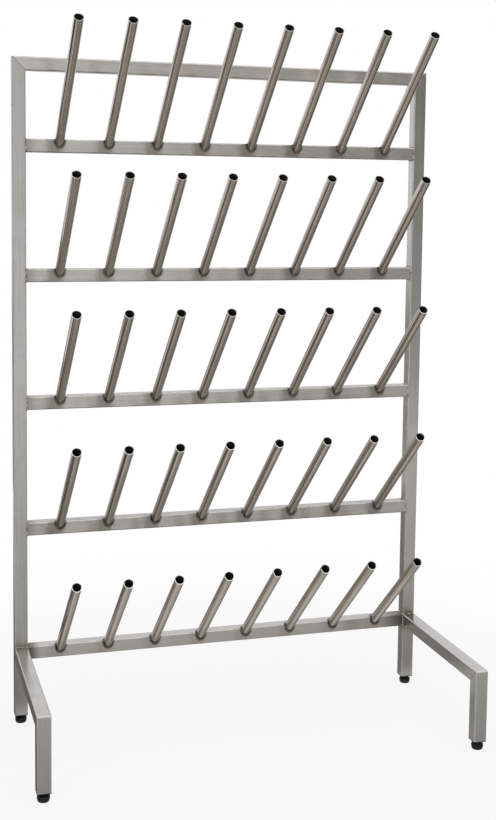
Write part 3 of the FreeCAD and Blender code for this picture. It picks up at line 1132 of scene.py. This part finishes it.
@dataclass(frozen=True)
class MouldedPlastic:
    """Black moulded plastic with a fine spark texture, and dust on top."""

    name: str
    colour: Colour
    dust: float
    roughness: float = 0.34
    threaded: bool = False
    worn: Tint = Tint((0.040, 0.039, 0.037), 0.45)
    dusty: Colour = (0.15, 0.145, 0.135)
    specular: float = 0.32
    swing: float = 0.05
    mark_roughness: float = 0.08
    dust_roughness: float = 0.4
    patch: float = 9.0 * MM
    spark_size: float = 0.35 * MM
    spark_depth: float = 0.05 * MM
    thread_pitch: float = 1.5 * MM
    thread_start: float = 20.1 * MM
    thread_depth: float = 0.8 * MM
    thread_spark: float = 0.06

    def thread_relief(self, bench: FinishBench) -> Socket:
        """Cuts a right-hand thread into the studs above their collars.

        Args:
            bench: The material that is being built.

        Returns:
            The height of the thread's flanks, from 0 to 1.
        """
        x_way, y_way = (
            bench.minus(coordinate, bench.times(bench.math("SIGN", coordinate), offset))
            for coordinate, offset in ((bench.x, bench.rack.foot_x), (bench.y, bench.rack.foot_y))
        )
        turn = bench.over(bench.math("ARCTAN2", y_way, x_way), 2 * math.pi)
        rise = bench.minus(bench.over(bench.z, self.thread_pitch), turn)
        flank = bench.times(bench.math("PINGPONG", rise, 0.5), 2.0)
        return bench.times(flank, bench.math("GREATER_THAN", bench.z, self.thread_start))

    def build(self, rack: RackSizes, effects: EffectLibrary) -> bpy.types.Material:
        """Makes the material.

        Args:
            rack: The rack's sizes, for where the studs stand.
            effects: The shared shader groups.

        Returns:
            The finished material.
        """
        bench = FinishBench(self.name, rack, effects)
        spark = bench.noise(bench.place, 1.0 / self.spark_size)
        marks = bench.marks(self.patch)
        dust = bench.effect(effects.settled_dust, {"Position": bench.place, "Amount": self.dust})["Dust"]
        colour = bench.tinted(self.colour, marks, self.worn)
        bench.set("Base Color", bench.blend(dust, colour, self.dusty))
        sparkle = bench.fade(spark, *MOST_NOISE, -self.swing, self.swing)
        shares = ((sparkle, 1.0), (marks, self.mark_roughness), (dust, self.dust_roughness))
        bench.set("Roughness", bench.gathered(self.roughness, *shares))
        bench.set("Specular IOR Level", self.specular)
        if self.threaded:
            height = bench.plus(self.thread_relief(bench), bench.times(spark, self.thread_spark))
            bench.raise_surface(height, self.thread_depth)
        else:
            bench.raise_surface(spark, self.spark_depth)
        return bench.material


@dataclass(frozen=True)
class RippleSizes:
    """Sizes of one kind of weld bead, in metres."""

    pitch: float
    width: float
    thickness: float
    seed: int
    unevenness: float = 0.16


@dataclass(frozen=True)
class Seam:
    """A line that a weld bead follows, and how full the bead is at each point."""

    points: tuple[Vector, ...]
    fullness: tuple[float, ...] = ()
    closed: bool = False


class RippledBead:
    """Lays a weld bead along seams: one flattened ripple after another, by Geometry Nodes."""

    SEGMENTS = 10
    RINGS = 6
    FULLNESS = "bead_fullness"

    @cached_property
    def tree(self) -> bpy.types.NodeTree:
        """The bead's node tree, built once for all seams."""
        tree = bpy.data.node_groups.new("rippled_bead", "GeometryNodeTree")
        sockets = {
            "Seam": SocketKind.GEOMETRY,
            "Ripple Pitch": SocketKind.NUMBER,
            "Bead Width": SocketKind.NUMBER,
            "Ripple Thickness": SocketKind.NUMBER,
            "Unevenness": SocketKind.NUMBER,
            "Seed": SocketKind.COUNT,
            "Weld Metal": SocketKind.MATERIAL,
        }
        for name, kind in sockets.items():
            tree.interface.new_socket(name=name, in_out="INPUT", socket_type=kind.value)
        tree.interface.new_socket(name="Bead", in_out="OUTPUT", socket_type=SocketKind.GEOMETRY.value)
        bench = NodeBench(tree)
        given = bench.add("NodeGroupInput").outputs
        line = bench.feed_named(bench.add("GeometryNodeMeshToCurve"), {"Mesh": given["Seam"]})
        points = bench.feed_named(
            bench.add("GeometryNodeCurveToPoints", mode="LENGTH"),
            {"Curve": line.outputs["Curve"], "Length": given["Ripple Pitch"]},
        ).outputs
        ripple = bench.feed_named(
            bench.add("GeometryNodeMeshUVSphere"),
            {"Segments": self.SEGMENTS, "Rings": self.RINGS, "Radius": 0.5},
        )
        across = bench.times(given["Bead Width"], self.uneven_amount(bench, given))
        laid = bench.feed_named(
            bench.add("GeometryNodeInstanceOnPoints"),
            {
                "Points": points["Points"],
                "Instance": ripple.outputs["Mesh"],
                "Rotation": points["Rotation"],
                "Scale": bench.triple(across, across, given["Ripple Thickness"]),
            },
        )
        shape = laid.outputs["Instances"]
        for kind, settings in (
            ("GeometryNodeRealizeInstances", {}),
            ("GeometryNodeSetShadeSmooth", {}),
            ("GeometryNodeSetMaterial", {"Material": given["Weld Metal"]}),
        ):
            shape = bench.feed_named(bench.add(kind), {"Geometry": shape, **settings}).outputs["Geometry"]
        bench.feed_named(bench.add("NodeGroupOutput"), {"Bead": shape})
        return tree

    def uneven_amount(self, bench: NodeBench, given: bpy.types.bpy_prop_collection) -> Socket:
        """Gives how full each ripple is: the seam's own fullness, and chance.

        Args:
            bench: The bead's tree.
            given: The tree's inputs.

        Returns:
            The socket with the amount, about 1 where the bead is full.
        """
        chance = bench.add("FunctionNodeRandomValue", data_type="FLOAT")
        lowest, highest = [socket for socket in chance.inputs if socket.type == "VALUE"][:2]
        bench.feed(lowest, bench.minus(1.0, given["Unevenness"]))
        bench.feed(highest, bench.plus(1.0, given["Unevenness"]))
        bench.feed(chance.inputs["Seed"], given["Seed"])
        full = bench.add("GeometryNodeInputNamedAttribute", data_type="FLOAT")
        bench.feed(full.inputs["Name"], self.FULLNESS)
        return bench.times(*(next(s for s in node.outputs if s.type == "VALUE") for node in (chance, full)))

    def lined_up(self, name: str, seams: Sequence[Seam]) -> bpy.types.Object:
        """Draws every seam as a line of edges.

        Args:
            name: The new piece's name.
            seams: The lines that the beads follow.

        Returns:
            The object with the edges, each point with its fullness.
        """
        lines = bpy.data.meshes.new(f"{name}_seams")
        points: list[Vector] = []
        edges: list[tuple[int, int]] = []
        fullness: list[float] = []
        for seam in seams:
            first, count = len(points), len(seam.points)
            points += seam.points
            fullness += seam.fullness or [1.0] * count
            edges += [(first + step, first + step + 1) for step in range(count - 1)]
            if seam.closed:
                edges.append((first + count - 1, first))
        lines.from_pydata(points, edges, [])
        lines.attributes.new(self.FULLNESS, "FLOAT", "POINT").data.foreach_set("value", fullness)
        host = bpy.data.objects.new(f"{name}_host", lines)
        bpy.context.scene.collection.objects.link(host)
        return host

    def lay(
        self, name: str, seams: Sequence[Seam], sizes: RippleSizes, metal: bpy.types.Material
    ) -> bpy.types.Object:
        """Lays one bead along every seam and makes the result one mesh.

        Args:
            name: The new piece's name.
            seams: The lines that the beads follow.
            sizes: The bead's sizes.
            metal: Its material.

        Returns:
            The piece, riding on the rack.
        """
        host = self.lined_up(name, seams)
        modifier = host.modifiers.new("bead", "NODES")
        modifier.node_group = self.tree
        values = {
            "Ripple Pitch": sizes.pitch,
            "Bead Width": sizes.width,
            "Ripple Thickness": sizes.thickness,
            "Unevenness": sizes.unevenness,
            "Seed": sizes.seed,
            "Weld Metal": metal,
        }
        for item in self.tree.interface.items_tree:
            if item.item_type == "SOCKET" and item.in_out == "INPUT" and item.name in values:
                modifier[item.identifier] = values[item.name]
        graph = bpy.context.evaluated_depsgraph_get()
        mesh = bpy.data.meshes.new_from_object(host.evaluated_get(graph), depsgraph=graph)
        host.modifiers.remove(modifier)
        bpy.data.objects.remove(host)
        mesh.name = name
        piece = bpy.data.objects.new(name, mesh)
        bpy.context.scene.collection.objects.link(piece)
        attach(piece, RACK)
        return piece


@dataclass
class SquareFrame:
    """The uprights, rails, foot arms and front legs, with the welds between them."""

    rack: RackSizes
    effects: EffectLibrary
    bead: RippledBead
    metal: bpy.types.Material
    rail_weld: RippleSizes = RippleSizes(pitch=2.7 * MM, width=4.0 * MM, thickness=3.4 * MM, seed=11)
    arm_weld: RippleSizes = RippleSizes(pitch=2.4 * MM, width=3.4 * MM, thickness=3.0 * MM, seed=23)
    sunk: float = 1.0 * MM
    back_sunk: float = 2.6 * MM
    end_gap: float = 3.0 * MM
    top_gaps: tuple[float, float] = (2.0 * MM, 1.0 * MM)
    arm_inset: float = 2.2 * MM

    def dress(self, nodes: Nodes) -> None:
        """Gives each square tube its steel.

        Args:
            nodes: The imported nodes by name.
        """
        across, up = TubeRun.ACROSS, TubeRun.UP
        rails = tuple(f"peg_rail_{row}" for row in range(1, 6))
        finishes = {
            SquareTubeSteel("upright_steel", up, Mitre.TOP): ("left_upright", "right_upright"),
            SquareTubeSteel("top_rail_steel", across, Mitre.TOP, butt_welded=False): ("top_rail",),
            SquareTubeSteel("peg_rail_steel", across, pegs_welded_on=True): rails,
            SquareTubeSteel("foot_arm_steel", TubeRun.DEEP, Mitre.FOOT, roughness=0.13): (
                "left_foot_arm",
                "right_foot_arm",
            ),
            SquareTubeSteel("front_leg_steel", up, Mitre.FOOT, butt_welded=False): ("front_legs",),
        }
        for finish, names in finishes.items():
            material = finish.build(self.rack, self.effects)
            for name in names:
                wear_finish(nodes[name], material)

    def rail_end_seams(self) -> list[Seam]:
        """Gives the seams round the peg rails' ends.

        Returns:
            The seams, four for each end.
        """
        rack, seams = self.rack, []
        front, back = rack.front_y + self.sunk, rack.back_y - self.back_sunk
        front_gap, back_gap = self.top_gaps
        for top in rack.rail_tops:
            bottom = top - rack.tube
            high, low = top - self.end_gap, bottom + self.end_gap
            for x in (-rack.inner_x, rack.inner_x):
                seams += [Seam((Vector((x, y, high)), Vector((x, y, low)))) for y in (front, back)]
                seams += [
                    Seam((Vector((x, front + front_gap, z)), Vector((x, back - back_gap, z))))
                    for z in (top, bottom)
                ]
        return seams

    def arm_end_seams(self) -> list[Seam]:
        """Gives the seams round the foot arms where they meet the uprights.

        Returns:
            The seams, four for each arm.
        """
        rack, seams = self.rack, []
        y, top, bottom, inset = rack.front_y, rack.lowest_top, rack.lowest_top - rack.tube, self.arm_inset
        for side in (-1, 1):
            outer, inner = side * (rack.side_x - inset), side * (rack.inner_x + inset)
            seams += [Seam((Vector((outer, y, z)), Vector((inner, y, z)))) for z in (top, bottom)]
            seams += [
                Seam((Vector((x, y, top - inset)), Vector((x, y, bottom + inset))))
                for x in (outer, side * rack.inner_x)
            ]
        return seams

    def build(self, nodes: Nodes) -> Pieces:
        """Dresses the tubes and lays their welds.

        Args:
            nodes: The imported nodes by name.

        Returns:
            The new pieces.
        """
        self.dress(nodes)
        return [
            self.bead.lay("rail_end_welds", self.rail_end_seams(), self.rail_weld, self.metal),
            self.bead.lay("foot_arm_welds", self.arm_end_seams(), self.arm_weld, self.metal),
        ]


@dataclass
class PegRows:
    """The forty pegs and the beads that hold them to their rails."""

    rack: RackSizes
    effects: EffectLibrary
    bead: RippledBead
    metal: bpy.types.Material
    weld: RippleSizes = RippleSizes(pitch=2.2 * MM, width=3.4 * MM, thickness=2.4 * MM, seed=5)
    least_share: float = 0.25
    left_share: float = 0.60
    right_share: float = 0.18
    seam_steps: int = 48
    proud: float = 0.4 * MM

    def seam(self, column: float, top: float) -> Seam:
        """Follows the joint of one peg with its rail's front and top faces.

        Args:
            column: The peg's place along X.
            top: The height of its rail's top.

        Returns:
            The closed seam round the peg, fullest on its left.
        """
        rack = self.rack
        axis, up = rack.peg_axis, rack.peg_up
        root = Vector((column, rack.front_y, top - rack.peg_seat))
        points, fullness = [], []
        for step in range(self.seam_steps):
            turn = 2 * math.pi * step / self.seam_steps
            sideways = math.cos(turn)
            out = Vector((1.0, 0.0, 0.0)) * sideways + up * math.sin(turn)
            foot = root + out * (rack.peg_radius + self.proud)
            to_front = (rack.front_y - foot.y) / axis.y
            to_top = (top - foot.z) / axis.z
            points.append(foot + axis * min(to_front, to_top))
            share = self.right_share if sideways > 0 else self.left_share
            fullness.append(self.least_share + share * abs(sideways))
        return Seam(tuple(points), tuple(fullness), closed=True)

    def build(self, nodes: Nodes) -> Pieces:
        """Dresses the pegs and lays their welds.

        Args:
            nodes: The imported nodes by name.

        Returns:
            The new pieces.
        """
        steel = PegTubeSteel().build(self.rack, self.effects)
        for name, node in nodes.items():
            if name.startswith("peg_row"):
                wear_finish(node, steel)
        seams = [self.seam(column, top) for top in self.rack.rail_tops for column in self.rack.peg_columns]
        return [self.bead.lay("peg_welds", seams, self.weld, self.metal)]


@dataclass
class ScrewFeet:
    """The plugs in the legs, and under each a threaded stud and its pad."""

    rack: RackSizes
    effects: EffectLibrary
    plug: MouldedPlastic = MouldedPlastic("plug_plastic", (0.012, 0.012, 0.013), 0.06)
    stud: MouldedPlastic = MouldedPlastic("stud_plastic", (0.014, 0.014, 0.015), 0.10, 0.30, threaded=True)
    pad: MouldedPlastic = MouldedPlastic("pad_plastic", (0.011, 0.011, 0.012), 0.14)

    def build(self, nodes: Nodes) -> Pieces:
        """Dresses the plugs, studs and pads.

        Args:
            nodes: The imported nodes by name.

        Returns:
            The new pieces, of which there are none.
        """
        finishes = {
            self.plug: ["leg_plugs"],
            self.stud: [f"{foot.value}_foot_stud" for foot in FootPlace],
            self.pad: [f"{foot.value}_foot_pad" for foot in FootPlace],
        }
        for finish, names in finishes.items():
            material = finish.build(self.rack, self.effects)
            for name in names:
                wear_finish(nodes[name], material)
        return []


def wear_finish(node: bpy.types.Object, material: bpy.types.Material) -> None:
    """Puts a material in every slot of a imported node.

    Args:
        node: The node's object.
        material: Its new finish.
    """
    if not node.material_slots:
        node.data.materials.append(material)
    for slot in node.material_slots:
        slot.material = material
    LOG.info("dressed %s in %s", node.name, material.name)


@dataclass(frozen=True)
class FrontCamera:
    """A camera in front of the rack and to its left, a little over half way up."""

    place: Point = (-0.9335, -3.152, 1.424)
    turn_right: float = 0.2869
    tip_down: float = 0.0889
    roll: float = 0.0115
    lens: float = 55.98
    shift_y: float = -0.1193

    def build(self) -> bpy.types.Object:
        """Makes the camera and sets it as the scene's.

        Returns:
            The camera.
        """
        data = bpy.data.cameras.new("front_camera")
        data.lens = self.lens
        data.shift_y = self.shift_y
        camera = bpy.data.objects.new("front_camera", data)
        turn = Matrix.Rotation(-self.turn_right, 4, "Z")
        tip = Matrix.Rotation(math.pi / 2 - self.tip_down, 4, "X")
        camera.matrix_world = Matrix.Translation(self.place) @ turn @ tip @ Matrix.Rotation(self.roll, 4, "Z")
        bpy.context.scene.collection.objects.link(camera)
        bpy.context.scene.camera = camera
        return camera


@dataclass(frozen=True)
class SoftLamp:
    """A soft box: a large square lamp."""

    name: str
    place: Point
    aim: Point
    side: float
    radiance: float

    def build(self) -> bpy.types.Object:
        """Makes the lamp.

        Returns:
            The lamp.
        """
        data = bpy.data.lights.new(self.name, "AREA")
        data.shape = "SQUARE"
        data.size = self.side
        data.energy = self.radiance * math.pi * self.side**2
        lamp = bpy.data.objects.new(self.name, data)
        lamp.location = self.place
        lamp.rotation_euler = (Vector(self.aim) - Vector(self.place)).to_track_quat("-Z", "Y").to_euler()
        bpy.context.scene.collection.objects.link(lamp)
        return lamp


@dataclass(frozen=True)
class StudioCard:
    """A large glowing card that only reflections show: a painted reflection, such as a grey wall out of view.

    It fills the rectangle between its low and its high corner, which share one coordinate. Its
    tone changes along a direction: each stop is a distance along it and the colour there.
    """

    name: str
    low: Point
    high: Point
    towards: Point
    stops: tuple[tuple[float, Colour], ...]

    def corners(self) -> list[Point]:
        """Gives the card's four corners in order.

        Returns:
            The corners.
        """
        one, other = (axis for axis in range(3) if self.low[axis] != self.high[axis])
        corners = [list(self.low) for _ in range(4)]
        for corner, axes in zip(corners, ((), (one,), (one, other), (other,))):
            for axis in axes:
                corner[axis] = self.high[axis]
        return [tuple(corner) for corner in corners]

    def build(self) -> bpy.types.Object:
        """Makes the card.

        Returns:
            The card.
        """
        mesh = bpy.data.meshes.new(self.name)
        mesh.from_pydata(self.corners(), [], [(0, 1, 2, 3)])
        card = bpy.data.objects.new(self.name, mesh)
        material = bpy.data.materials.new(self.name)
        material.use_nodes = True
        bench = NodeBench(material.node_tree)
        bench.tree.nodes.clear()
        place = bench.parts(bench.add("ShaderNodeTexCoord").outputs["Object"])
        far = bench.gathered(0.0, *zip(place, self.towards))
        start, end = self.stops[0][0], self.stops[-1][0]
        along = bench.math("DIVIDE", bench.minus(far, start), end - start, clamp=True)
        stops = [((distance - start) / (end - start), colour) for distance, colour in self.stops]
        tone = bench.ramp(along, stops)
        glow = bench.feed_named(bench.add("ShaderNodeEmission"), {"Color": tone})
        bench.feed(bench.add("ShaderNodeOutputMaterial").inputs["Surface"], glow.outputs[0])
        mesh.materials.append(material)
        bpy.context.scene.collection.objects.link(card)
        for ray in ("camera", "diffuse", "transmission", "shadow", "volume_scatter"):
            setattr(card, f"visible_{ray}", False)
        return card


def warm(*stops: tuple[float, float, float]) -> tuple[tuple[float, Colour], ...]:
    """Gives brownish stops from distances, reds and the share by which green (twice: blue) is less."""
    return tuple((far, (red, red * (1.0 - less), red * (1.0 - 2.0 * less))) for far, red, less in stops)


@dataclass(frozen=True)
class Studio:
    """The pale floor, white background, lamps and cards round the rack."""

    floor_tone: float = 0.90
    floor_half: float = 30.0
    near_white: float = 0.85
    fade_from: float = 0.7
    fade_to: float = 1.9
    ambient: float = 0.55
    left: float = -2.2
    outer_left: float = -3.4
    right: float = 3.4
    near: float = -5.0
    split: float = 0.30
    back: float = 3.0
    wall_height: float = 4.2
    ceiling: float = 3.5
    lift: float = 0.001

    @staticmethod
    def seen_white(bench: NodeBench) -> Socket:
        """Gives 1 on the rays that see the white background, and 0 on others.

        Args:
            bench: The material or world that is being built.

        Returns:
            The socket with the mask.
        """
        rays = bench.add("ShaderNodeLightPath").outputs
        seen = bench.math("MAXIMUM", rays["Is Camera Ray"], rays["Is Glossy Ray"])
        return bench.math("MAXIMUM", seen, rays["Is Transmission Ray"])

    def build_floor(self) -> bpy.types.Object:
        """Makes the floor, which keeps the rack's shadow and fades to white.

        Returns:
            The floor.
        """
        half = self.floor_half
        mesh = bpy.data.meshes.new("floor")
        corners = [(-half, -half, 0), (half, -half, 0), (half, half, 0), (-half, half, 0)]
        mesh.from_pydata(corners, [], [(0, 1, 2, 3)])
        floor = bpy.data.objects.new("floor", mesh)
        material = bpy.data.materials.new("pale_floor")
        material.use_nodes = True
        bench = NodeBench(material.node_tree)
        bench.tree.nodes.clear()
        matt = bench.add("ShaderNodeBsdfDiffuse")
        bench.feed(matt.inputs["Color"], (self.floor_tone, self.floor_tone, self.floor_tone, 1.0))
        x, y, _ = bench.parts(bench.add("ShaderNodeTexCoord").outputs["Object"])
        away = bench.fade(bench.length(x, y), self.fade_from, self.fade_to, self.near_white)
        white = bench.add("ShaderNodeEmission")
        mix = bench.add("ShaderNodeMixShader")
        mixed = (bench.times(away, self.seen_white(bench)), matt.outputs[0], white.outputs[0])
        for socket, value in zip(mix.inputs, mixed):
            bench.feed(socket, value)
        bench.feed(bench.add("ShaderNodeOutputMaterial").inputs["Surface"], mix.outputs[0])
        mesh.materials.append(material)
        bpy.context.scene.collection.objects.link(floor)
        return floor

    def build_world(self) -> None:
        """Makes the world white where it is seen and plain grey as light."""
        world = bpy.data.worlds.new("studio")
        bpy.context.scene.world = world
        world.use_nodes = True
        bench = NodeBench(world.node_tree)
        bench.tree.nodes.clear()
        strength = bench.gathered(self.ambient, (self.seen_white(bench), 1.0 - self.ambient))
        sky = bench.add("ShaderNodeBackground")
        bench.feed_named(sky, {"Strength": strength, "Color": (1.0, 1.0, 1.0, 1.0)})
        bench.feed(bench.add("ShaderNodeOutputWorld").inputs["Surface"], sky.outputs[0])

    def cards(self) -> tuple[StudioCard, ...]:
        """Lists the cards that the steel reflects.

        Returns:
            The cards.
        """
        left, outer, right, near, back = self.left, self.outer_left, self.right, self.near, self.back
        split, top, ceiling, lift = self.split, self.wall_height, self.ceiling, self.lift
        deep, left_back, up, sloping = (0.0, 1.0, 0.0), (-0.9, 0.5, 0.0), (0.0, 0.0, 1.0), (0.8, 0.0, 0.6)
        return (
            StudioCard(
                "floor_ahead_card",
                (outer, near, lift),
                (right, split, lift),
                deep,
                warm(
                    (-4.2, 0.66, 0.01), (-1.6, 0.54, 0.02), (-0.7, 0.49, 0.03), (-0.3, 0.38, 0.04),
                    (0.08, 0.32, 0.05), (0.14, 0.50, 0.04), (0.30, 0.46, 0.04),
                ),
            ),
            StudioCard(
                "floor_behind_card",
                (outer, split, lift),
                (right, back, lift),
                left_back,
                warm(
                    (-2.2, 0.08, 0.10), (-1.6, 0.12, 0.08), (-0.7, 0.20, 0.07), (0.0, 0.26, 0.06),
                    (1.4, 0.26, 0.06), (1.7, 0.14, 0.06), (2.0, 0.72, 0.02), (2.6, 0.92, 0.01),
                ),
            ),
            StudioCard(
                "shadow_card",
                (-0.95, -0.30, 2 * lift),
                (-0.585, 1.2, 2 * lift),
                deep,
                warm((-0.3, 0.12, 0.08), (1.2, 0.16, 0.08)),
            ),
            StudioCard(
                "ceiling_card",
                (outer, near, ceiling),
                (right, back, ceiling),
                deep,
                warm((-1.6, 1.0, 0.0), (-1.0, 0.96, 0.0), (-0.3, 0.46, 0.03), (back, 0.40, 0.03)),
            ),
            StudioCard(
                "wall_ahead_card",
                (outer, near, 0.0),
                (right, near, top),
                sloping,
                warm(
                    (-1.5, 0.74, 0.0), (0.9, 0.72, 0.01), (1.5, 0.64, 0.01), (2.1, 0.47, 0.02),
                    (2.8, 0.40, 0.03), (3.5, 0.22, 0.05),
                ),
            ),
            StudioCard(
                "wall_behind_card",
                (outer, back, 0.0),
                (right, back, top),
                up,
                (*warm((0.80, 0.33, 0.06)), (1.05, (0.680, 0.670, 0.685)), (1.3, (0.860, 0.845, 0.875))),
            ),
            StudioCard(
                "wall_left_card",
                (left, near, 0.0),
                (left, back, top),
                deep,
                warm(
                    (-4.0, 0.74, 0.0), (-1.8, 0.70, 0.01), (-0.8, 0.16, 0.06), (0.6, 0.05, 0.08),
                    (1.45, 0.05, 0.08), (1.75, 0.84, 0.02), (2.5, 0.98, 0.01),
                ),
            ),
            StudioCard(
                "wall_right_card",
                (right, near, 0.0),
                (right, back, top),
                up,
                warm((0.0, 0.18, 0.10), (top, 0.13, 0.10)),
            ),
        )

    def build(self) -> None:
        """Makes the floor, the world, the lamps and the cards."""
        self.build_floor()
        self.build_world()
        SoftLamp("overhead_lamp", (0.2, -0.6, 3.6), (0.0, 0.0, 0.6), 3.0, 0.95).build()
        SoftLamp("left_lamp", (-2.8, -2.6, 2.8), (0.0, 0.0, 0.9), 1.6, 1.6).build()
        for card in self.cards():
            card.build()
        bpy.context.scene.view_settings.view_transform = "Standard"


def main() -> None:
    """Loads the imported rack, dresses it and sets it in the studio."""
    logging.basicConfig(level=logging.INFO, format="%(name)s: %(message)s")
    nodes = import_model()["nodes"]
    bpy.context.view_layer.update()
    rack = RackSizes.measured()
    FrontCamera().build()
    Studio().build()
    effects, bead = EffectLibrary(), RippledBead()
    clean = WeldMetal().build(rack, effects)
    # The peg welds are painted much darker than the frame's, as painted contact shade round each peg's root.
    shaded_peg_weld = WeldMetal(
        name="peg_weld_metal",
        crest=(0.62, 0.59, 0.55),
        straw=(0.10, 0.085, 0.072),
        trough=(0.025, 0.021, 0.018),
        roughness=0.2,
        trough_roughness=0.42,
        clean_from=0.80,
    ).build(rack, effects)
    for assembly in (
        SquareFrame(rack, effects, bead, clean),
        PegRows(rack, effects, bead, shaded_peg_weld),
        ScrewFeet(rack, effects),
    ):
        for piece in assembly.build(nodes):
            LOG.info("%s: %d faces", piece.name, len(piece.data.polygons))


if __name__ == "__main__":
    main()
